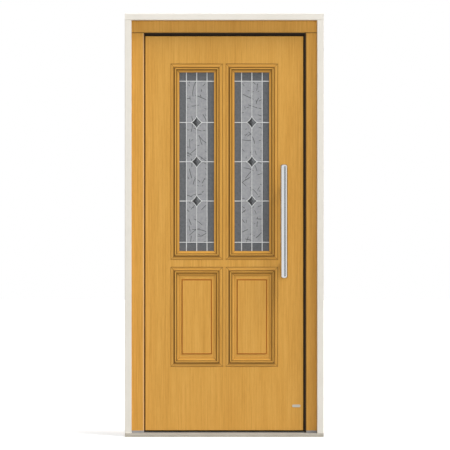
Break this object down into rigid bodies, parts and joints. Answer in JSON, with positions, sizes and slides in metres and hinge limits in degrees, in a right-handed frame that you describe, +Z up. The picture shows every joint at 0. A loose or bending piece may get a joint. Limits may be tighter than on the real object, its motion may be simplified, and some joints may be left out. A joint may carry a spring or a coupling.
{
  "type": "front door",
  "caption": "Flush wooden front door in its frame, with leaded lights over raised panels, a steel pull bar and an inward hinged leaf.",
  "frame": {"origin": "centre of the sill's underside, in the plane of the door frame's outside face", "axes": "+X to the right seen from outside, +Y into the house, +Z up"},
  "size_m": [1.05, 0.2275, 2.235],
  "materials": {
    "frame_wood": "satin lacquer",
    "leaf_wood": "satin lacquer",
    "moulding_wood": "satin lacquer",
    "surround_paint": "pale paint",
    "sill_stone": "matte",
    "threshold_metal": "satin",
    "foot_plastic": "matte",
    "seal_rubber": "matte",
    "came_metal": "dull lead grey",
    "border_glass": "smoky",
    "centre_glass": "textured",
    "diamond_glass": "bevelled",
    "pane_glass": "clear",
    "bar_steel": "satin",
    "lever_steel": "satin",
    "lock_steel": "satin",
    "hinge_steel": "satin"
  },
  "bodies": {
    "door_frame": {"jamb_hinge_side": "frame_wood", "jamb_lock_side": "frame_wood", "frame_head": "frame_wood", "surround_left": "surround_paint", "surround_right": "surround_paint", "surround_head": "surround_paint", "sill": "sill_stone", "threshold": "threshold_metal", "jamb_foot_left": "foot_plastic", "jamb_foot_right": "foot_plastic", "strike_plates": "lock_steel", "hinge_frame_halves": "hinge_steel", "frame_gasket": "seal_rubber"},
    "door_leaf": {"leaf_core": "leaf_wood", "leaf_outer_face": "leaf_wood", "leaf_inner_face": "leaf_wood", "light_moulding_left": "moulding_wood", "panel_moulding_left": "moulding_wood", "inner_light_moulding_left": "moulding_wood", "inner_panel_moulding_left": "moulding_wood", "raised_panel_left": "moulding_wood", "light_moulding_right": "moulding_wood", "panel_moulding_right": "moulding_wood", "inner_light_moulding_right": "moulding_wood", "inner_panel_moulding_right": "moulding_wood", "raised_panel_right": "moulding_wood", "leaf_seal": "seal_rubber", "bottom_seal": "seal_rubber", "light_cames_left": "came_metal", "light_cames_right": "came_metal", "light_border_glass_left": "border_glass", "light_border_glass_right": "border_glass", "light_centre_glass_left": "centre_glass", "light_centre_glass_right": "centre_glass", "light_diamonds_left": "diamond_glass", "light_diamonds_right": "diamond_glass", "light_pane_left": "pane_glass", "light_pane_right": "pane_glass", "pull_bar": "bar_steel", "pull_bar_post_upper": "bar_steel", "pull_bar_post_lower": "bar_steel", "lever_rose": "lever_steel", "lever_handle": "lever_steel", "lock_faceplate": "lock_steel", "lock_bolts": "lock_steel", "hinge_leaf_halves": "hinge_steel"}
  },
  "joints": [
    {"name": "leaf_swing", "type": "hinge", "parent": "door_frame", "child": "door_leaf", "pos_m": [-0.4702, 0.099, 1.08], "axis": [0, 0, 1], "range_deg": [0, 105]}
  ]
}
